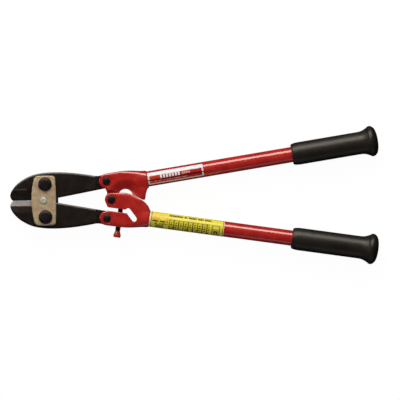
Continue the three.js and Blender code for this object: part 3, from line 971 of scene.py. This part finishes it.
def upper_fitting_distance(u, v, z):
    """Fork, arched arm to the tongue, and stop lug."""
    body = forged_plate(upper_fitting_outline(), u, v, z, FITTING_ENDS["upper"])
    # The faces slope down towards the arch.
    fall = ARCH["depth"] / (ARCH["dish"] - ARCH["radius"])
    slope = np.abs(z) - FITTING_HALF - fall * disc(u, v, ARCH["centre"], ARCH["dish"])
    body = both(body, slope / math.hypot(1, fall), 0.8)
    ear_space = Pen(-15, -15.2).to(6, -15.0).to(10, -15.5).to(15, -16.6).to(15, -40).to(-15, -40)
    zone = np.minimum(disc(u, v, TOGGLE, TONGUE_ZONE), outline_distance(ear_space.points, u, v))
    body = without(body, np.maximum(zone, TAIL_HALF - np.abs(z)), 0.8)
    hole = (TOGGLE[0] + TOGGLE_HOLE["u"], TOGGLE[1] + TOGGLE_HOLE["v"])
    body = without(body, disc(u, v, hole, TOGGLE_HOLE["radius"]), 0.3)
    body = without_fork(body, u, v, z)
    return spot_face(body, u, v, z, (0, 0))


def lower_fitting_distance(u, v, z):
    """Fork and toggle ears on two fingers, parted by a bent slot."""
    body = forged_plate(lower_fitting_outline(), u, v, z, FITTING_ENDS["lower"])
    gap = np.minimum(capsule(u, v, *FINGER_SLOT), rectangle(u, v, *FINGER_GAP))
    body = without(body, gap, 0.9)
    tongue = np.minimum(disc(u, v, TOGGLE, TOGGLE_SLOT),
                        np.minimum(rectangle(u, v, (-20, -40), (TOGGLE[0], -12.8)),
                                   rectangle(u, v, (TOGGLE[0] - 1, -40), (13.6, -29.5))))
    body = without(body, np.maximum(tongue, np.abs(z) - FORK_HALF), 0.4)
    hole = np.hypot(u - SCREW["u"], z) - SCREW["radius"] - SCREW["clearance"]
    body = without(body, np.maximum(hole, SCREW["tip"] - v), 0.4)
    body = without_fork(body, u, v, z)
    body = without(body, disc(u, v, TOGGLE, LINK_BORE), 0.3)
    body = spot_face(body, u, v, z, TOGGLE)
    return spot_face(body, u, v, z, (0, 0))


def fitting(half, distance):
    end = FITTING_ENDS[half] + SPIGOT["length"]
    points, faces = skin(distance, (-10, -35, -10.4), (end, 10, 10.4), CELL)
    piece = make_object(f"{half}_fitting_forging", points, faces, handle_frame(half), HALVES[half])
    finish_piece(piece, f"{half}_handle", f"{half}_fitting", "red_paint", RED_FORGING)


def adjusting_screw():
    """Threaded black shank, and a red neck that flares into a hexagonal head."""
    tip, thread_end, neck = SCREW["tip"], SCREW["thread_end"], SCREW["neck"]
    shoulder, head = SCREW["shoulder"], SCREW["head"]
    radius, corner = SCREW["radius"], SCREW["corner"]
    thread_start = tip + TIP_CHAMFER
    shank = divided([(radius, thread_start), (radius, thread_end)], THREAD_STEP)
    neck_start = (radius, thread_end + 0.2)
    flared = eased([neck_start, (radius - 0.3, neck + 1.0), (3.7, shoulder + 0.2),
                    (corner - 0.1, shoulder + 2.2), (corner, head - 1.4), (corner - 0.9, head)], 1.0)
    dimple = [(corner - 1.6, head), (corner - 1.9, head - 0.3), (0, head - 0.3)]
    profile = [(0, tip), (radius - TIP_CHAMFER, tip), *shank, neck_start, *flared[1:], *dimple]
    threads = thread(SCREW["pitch"], SCREW["depth"], thread_start, thread_end)

    def radii(ring, height, angles):
        """Threads below the neck. Above it, six flats that come in over two millimetres."""
        if height <= neck:
            return threads(ring, height, angles)
        share = min(1.0, max(0.0, (height - shoulder) / 2)) * 0.7
        flats = math.sqrt(3) * (ring + 0.2)
        return ring * (1 - share) + np.minimum(ring, hexagon(flats, angles)) * share

    points, faces = turned(profile, 72, radii)
    # Laid so that its height runs outwards, along -Y of the lower frame.
    laid = np.stack([points[:, 0] + SCREW["u"], -points[:, 2], points[:, 1]], 1)
    place = handle_frame("lower")
    piece = make_object("adjusting_screw_turned", laid, faces, place, crisp_angle=35)
    finish_piece(piece, "adjusting_screw", "adjusting_screw", "red_paint", RED_TUBING, HARDWARE)
    to_handle = place.inverted()
    for polygon in piece.data.polygons:
        outward = -(to_handle @ polygon.center).y / MM
        polygon.material_index = 0 if outward > neck + 0.3 else 1


def handle_bolts(half):
    """The link bolt, and on the lower handle the toggle bolt, with their nuts."""
    place = handle_frame(half)
    end = -FITTING_HALF - GAP - LINK_BOLT["nut"] - BOLT_END
    spots = {f"{half}_link": (0, 0)}
    if half == "lower":
        spots["toggle"] = (TOGGLE[0], -TOGGLE[1])
    for name, (u, y) in spots.items():
        here = place @ Matrix.Translation((u * MM, y * MM, 0))
        bolt(name, f"{half}_handle", LINK_BOLT, here, FITTING_HALF, end, SPOT_FACE["depth"])
        nut(name, f"{half}_handle", LINK_BOLT, here, FITTING_HALF, SPOT_FACE["depth"])


# -------- tubes, grips and labels


def tube(half):
    """A handle tube, open at both ends."""
    start, end = FITTING_ENDS[half] + GAP, TUBE["end"]
    outer, inner = TUBE["radius"], TUBE["radius"] - TUBE["wall"]
    corners = [(outer, start), (outer, end), (inner, end), (inner, start)]
    profile = eased(corners, 0.3, closed=True)
    points, faces = turned(profile, 128, closed=True)
    points = along_x(points)
    piece = make_object(f"{half}_tube_steel", points, faces, tube_frame(half), crisp_angle=40)
    finish_piece(piece, f"{half}_handle", f"{half}_tube", "red_paint", RED_TUBING)


def grip(half):
    """A moulded sleeve: tapered mouth, straight barrel, and a flared, domed end."""
    bore, depth = GRIP_BORE["radius"], GRIP_BORE["depth"]
    mouth = [(0, depth), (bore, depth), (bore, 0.8), (bore + 0.7, 0), (11.9, 0), (12.5, 0.5)]
    barrel = Pen(12.5, 0.5).through((13.1, 1.9), (13.6, 4.2), (13.95, 7.5), (14.0, 12.0)).points
    flare = Pen(14.0, 84.0).through((14.25, 87.4), (14.95, 90.6), (16.3, 93.8), (17.3, 95.6)).points
    rim = Pen(17.15, 96.0).through(
        (18.0, 96.7), (18.75, 98.0), (19.0, 99.7), (18.6, 101.7), (17.1, 103.8), (14.4, 105.8),
        (10.0, 107.2), (5.0, 107.9), (0, 108.1)).points
    profile = mouth + barrel[1:] + flare + rim
    profile = [(max(0.0, r), u + GRIP_STARTS[half]) for r, u in profile]
    points, faces = turned(profile, 160)
    points = along_x(points)
    piece = make_object(f"{half}_grip_sleeve", points, faces, tube_frame(half), crisp_angle=50)
    finish_piece(piece, f"{half}_handle", f"{half}_grip", "grip_rubber", RUBBER)


def label(half):
    """Thin printed film round the tube. The upper one has rounded corners."""
    start, end = LABELS[half]
    wraps = half == "lower"
    half_angle, corner = (math.pi, 0) if wraps else (UPPER_LABEL_HALF_ANGLE, LABEL_CORNER)
    across, along = 120, 90  # faces round the tube, and rings along it
    turns = np.linspace(-1, 1, across + 1)
    if wraps:
        turns = turns[:-1]
    stations = (1 - np.cos(np.linspace(0, math.pi, along))) / 2 * (end - start) + start
    points = []
    for radius in (LABEL_RADIUS, LABEL_INNER):
        for u in stations:
            inset = max(0.0, corner - min(u - start, end - u))
            narrower = (corner - math.sqrt(max(0, corner**2 - inset**2))) / LABEL_RADIUS
            angles = turns * (half_angle - narrower)
            points.extend((u, radius * math.sin(a), radius * math.cos(a)) for a in angles)
    width, layer = len(turns), len(turns) * len(stations)
    columns = range(width if wraps else width - 1)
    faces = []
    for i in range(along - 1):
        row, next_row = i * width, (i + 1) * width
        # The outer and inner faces, then the straight sides.
        for j in columns:
            k = (j + 1) % width
            a, b, c, d = row + j, row + k, next_row + k, next_row + j
            faces += [(d, c, b, a), (a + layer, b + layer, c + layer, d + layer)]
        for j in () if wraps else (0, width - 1):
            a, d = row + j, next_row + j
            side = (a, a + layer, d + layer, d)
            faces.append(side[::-1] if j == 0 else side)
    # The two ends.
    for i in (0, along - 1):
        for j in columns:
            a, b = i * width + j, i * width + (j + 1) % width
            rim = (a, b, b + layer, a + layer)
            faces.append(rim if i == 0 else rim[::-1])
    piece = make_object(f"{half}_label_film", points, faces, tube_frame(half), crisp_angle=40)
    slot = "yellow_label" if wraps else "red_label"
    finish_piece(piece, f"{half}_handle", f"{half}_label", slot, LABEL_PRINTS[half])


build_head()
fitting("upper", upper_fitting_distance)
fitting("lower", lower_fitting_distance)
adjusting_screw()
for half in HALVES:
    handle_bolts(half)
    tube(half)
    grip(half)
    label(half)

# -------- floor, light and camera

VIEW_WIDTH = 0.496  # of the picture in metres, at the middle of the thickness
VIEW_DISTANCE = 6.0
VIEW_CENTRE = (0.00636, -0.0026)
VIEW_ROLL = math.radians(-0.965)


def floor():
    """A pale ground that glows, but gives the tool neither light nor reflections."""
    mesh = bpy.data.meshes.new("floor")
    half = 4.0
    corners = [(-half, -half, 0), (half, -half, 0), (half, half, 0), (-half, half, 0)]
    mesh.from_pydata(corners, [], [(0, 1, 2, 3)])
    s = Surface("pale_floor")
    s.set(Base_Color=(0.06, 0.06, 0.06, 1), Roughness=0.9, Specular_IOR_Level=0.0,
          Emission_Color=(1, 1, 1, 1), Emission_Strength=0.97)
    mesh.materials.append(s.material)
    piece = add_object("floor", mesh)
    piece.visible_glossy = piece.visible_diffuse = False


def area_light(name, direction, distance, size, power, colour, mirrored=True):
    """A soft rectangular light that faces the tool from a direction."""
    data = bpy.data.lights.new(name, "AREA")
    data.shape = "RECTANGLE"
    data.size, data.size_y = size
    data.energy = power
    data.color = colour
    light = add_object(name, data)
    light.visible_glossy = mirrored
    towards = Vector(direction).normalized()
    light.location = towards * distance
    light.rotation_mode = "QUATERNION"
    light.rotation_quaternion = towards.to_track_quat("Z", "Y")


def studio():
    warm = (1.0, 0.93, 0.82)
    area_light("key", (-0.15, 1.0, 0.66), 1.5, (1.9, 0.72), 17, warm)
    area_light("fill", (-0.1, 0.5, 1.0), 1.7, (1.2, 1.0), 6.5, warm, mirrored=False)
    area_light("left", (-1.0, 0.2, 0.22), 1.6, (0.7, 0.3), 1.5, warm)
    area_light("low", (0.1, -1.0, 0.25), 1.5, (1.9, 0.7), 1.0, (1.0, 1.0, 1.0))
    world = bpy.data.worlds.new("studio")
    bpy.context.scene.world = world
    world.use_nodes = True
    background = world.node_tree.nodes["Background"]
    background.inputs["Color"].default_value = (1, 1, 1, 1)
    background.inputs["Strength"].default_value = 0.18
    world.cycles_visibility.glossy = False


def camera():
    """Straight above the tool, far off, turned a little."""
    data = bpy.data.cameras.new("camera")
    data.sensor_width = 36.0
    data.lens = data.sensor_width * VIEW_DISTANCE / VIEW_WIDTH
    view = add_object("camera", data)
    view.location = (*VIEW_CENTRE, MID_HEIGHT + VIEW_DISTANCE)
    view.rotation_euler = (0, 0, VIEW_ROLL)
    bpy.context.scene.camera = view


floor()
studio()
camera()
bpy.context.scene.view_settings.view_transform = "Standard"

bpy.context.view_layer.update()
